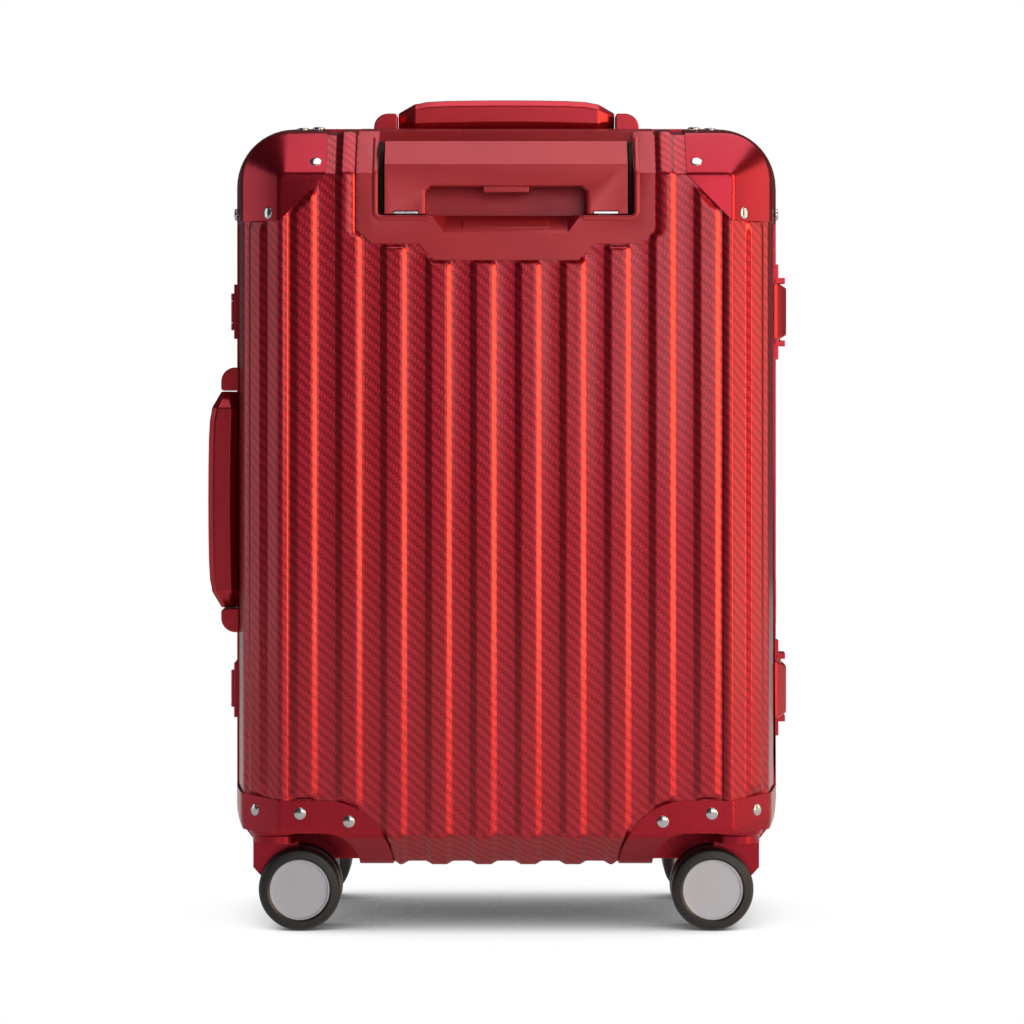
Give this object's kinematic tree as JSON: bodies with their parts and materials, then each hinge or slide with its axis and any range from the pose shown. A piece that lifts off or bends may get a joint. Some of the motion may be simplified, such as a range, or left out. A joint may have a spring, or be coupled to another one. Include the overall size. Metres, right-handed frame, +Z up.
{
  "type": "hard shell suitcase",
  "caption": "Ribbed aluminium cabin suitcase: two framed half shells on side hinges, telescopic trolley, pull-out carry handles, latches, key lock and twin-wheel casters.",
  "frame": {"origin": "on the floor, under the middle of the two shells and on the seam plane between them", "axes": "+Z up; -Y out of the trolley side; +X towards the latches, -X towards the hinges and the side handle"},
  "size_m": [0.3892, 0.2316, 0.5478],
  "materials": {
    "red_aluminium": "embossed, anodised red",
    "red_frame": "satin anodised red extrusion",
    "red_plastic": "moulded, fine grain",
    "red_paint": "satin painted zinc",
    "bright_metal": "bright anodised",
    "satin_silver": "satin lacquered cap",
    "tyre": "black polyurethane with fine ridges",
    "lining": "woven polyester lining"
  },
  "bodies": {
    "case_back": {"back_shell": "red_aluminium", "back_frame": "red_frame", "back_lining": "lining", "back_corner_guard_left": "red_plastic", "back_wheel_guard_left": "red_plastic", "back_corner_guard_right": "red_plastic", "back_wheel_guard_right": "red_plastic", "hinge_leaf_back_lower": "red_frame", "hinge_leaf_back_upper": "red_frame", "trolley_panel": "red_plastic", "trolley_bracket": "red_plastic", "trolley_cover": "lining", "outer_tube_left": "bright_metal", "outer_tube_right": "bright_metal", "top_handle_ear_a": "red_paint", "top_handle_ear_b": "red_paint", "side_handle_ear_a": "red_paint", "side_handle_ear_b": "red_paint"},
    "case_front": {"front_shell": "red_aluminium", "front_frame": "red_frame", "front_lining": "lining", "front_corner_guard_left": "red_plastic", "front_wheel_guard_left": "red_plastic", "front_corner_guard_right": "red_plastic", "front_wheel_guard_right": "red_plastic", "hinge_leaf_front_lower": "red_frame", "hinge_leaf_front_upper": "red_frame", "latch_base_lower": "red_paint", "latch_pin_lower": "bright_metal", "latch_base_upper": "red_paint", "latch_pin_upper": "bright_metal", "lock_plate": "red_paint"},
    "swivel_back_left": {"caster_fork_back_left": "red_plastic"},
    "wheels_back_left": {"wheel_hub_back_left": "satin_silver", "tyre_outer_back_left": "tyre", "tyre_inner_back_left": "tyre"},
    "swivel_back_right": {"caster_fork_back_right": "red_plastic"},
    "wheels_back_right": {"wheel_hub_back_right": "satin_silver", "tyre_outer_back_right": "tyre", "tyre_inner_back_right": "tyre"},
    "swivel_front_left": {"caster_fork_front_left": "red_plastic"},
    "wheels_front_left": {"wheel_hub_front_left": "satin_silver", "tyre_outer_front_left": "tyre", "tyre_inner_front_left": "tyre"},
    "swivel_front_right": {"caster_fork_front_right": "red_plastic"},
    "wheels_front_right": {"wheel_hub_front_right": "satin_silver", "tyre_outer_front_right": "tyre", "tyre_inner_front_right": "tyre"},
    "trolley_stage": {"middle_tube_left": "bright_metal", "middle_tube_right": "bright_metal"},
    "trolley_handle": {"trolley_grip": "red_plastic", "inner_tube_left": "bright_metal", "inner_tube_right": "bright_metal"},
    "release_button": {"release_button": "red_plastic"},
    "top_handle": {"top_handle_bar": "red_paint"},
    "side_handle": {"side_handle_bar": "red_paint"},
    "latch_lower": {"latch_lever_lower": "red_paint"},
    "latch_upper": {"latch_lever_upper": "red_paint"},
    "lock_cylinder": {"lock_cylinder": "bright_metal"}
  },
  "joints": [
    {"name": "lid_hinge", "type": "hinge", "parent": "case_back", "child": "case_front", "pos_m": [-0.1843, 0, 0.28], "axis": [0, 0, 1], "range_deg": [0, 105]},
    {"name": "trolley_lower_slide", "type": "slide", "parent": "case_back", "child": "trolley_stage", "axis": [0, 0, 1], "range_m": [0, 0.265]},
    {"name": "trolley_upper_slide", "type": "slide", "parent": "trolley_stage", "child": "trolley_handle", "axis": [0, 0, 1], "range_m": [0, 0.265]},
    {"name": "release_button_press", "type": "slide", "parent": "trolley_handle", "child": "release_button", "axis": [0, 0, 1], "range_m": [0, 0.004], "stiffness_N_per_m": 800},
    {"name": "top_handle_lift", "type": "slide", "parent": "case_back", "child": "top_handle", "axis": [0, 0, 1], "range_m": [0, 0.02], "stiffness_N_per_m": 300},
    {"name": "side_handle_lift", "type": "slide", "parent": "case_back", "child": "side_handle", "axis": [-1, 0, 0], "range_m": [0, 0.02], "stiffness_N_per_m": 300},
    {"name": "latch_lower_turn", "type": "hinge", "parent": "case_front", "child": "latch_lower", "pos_m": [0.1872, 0.024, 0.151], "axis": [0, 0, 1], "range_deg": [0, 100]},
    {"name": "latch_upper_turn", "type": "hinge", "parent": "case_front", "child": "latch_upper", "pos_m": [0.1872, 0.024, 0.407], "axis": [0, 0, 1], "range_deg": [0, 100]},
    {"name": "key_turn", "type": "hinge", "parent": "case_front", "child": "lock_cylinder", "pos_m": [0.1818, 0.0085, 0.2103], "axis": [1, 0, 0], "range_deg": [0, 90]},
    {"name": "swivel_back_left", "type": "hinge", "parent": "case_back", "child": "swivel_back_left", "pos_m": [-0.152, -0.076, 0.06], "axis": [0, 0, 1], "continuous": true},
    {"name": "roll_back_left", "type": "hinge", "parent": "swivel_back_left", "child": "wheels_back_left", "pos_m": [-0.1352, -0.076, 0.027], "axis": [0, 1, 0], "continuous": true},
    {"name": "swivel_back_right", "type": "hinge", "parent": "case_back", "child": "swivel_back_right", "pos_m": [0.152, -0.076, 0.06], "axis": [0, 0, 1], "continuous": true},
    {"name": "roll_back_right", "type": "hinge", "parent": "swivel_back_right", "child": "wheels_back_right", "pos_m": [0.1352, -0.076, 0.027], "axis": [0, 1, 0], "continuous": true},
    {"name": "swivel_front_left", "type": "hinge", "parent": "case_front", "child": "swivel_front_left", "pos_m": [-0.152, 0.076, 0.06], "axis": [0, 0, 1], "continuous": true},
    {"name": "roll_front_left", "type": "hinge", "parent": "swivel_front_left", "child": "wheels_front_left", "pos_m": [-0.1352, 0.076, 0.027], "axis": [0, 1, 0], "continuous": true},
    {"name": "swivel_front_right", "type": "hinge", "parent": "case_front", "child": "swivel_front_right", "pos_m": [0.152, 0.076, 0.06], "axis": [0, 0, 1], "continuous": true},
    {"name": "roll_front_right", "type": "hinge", "parent": "swivel_front_right", "child": "wheels_front_right", "pos_m": [0.1352, 0.076, 0.027], "axis": [0, 1, 0], "continuous": true}
  ]
}
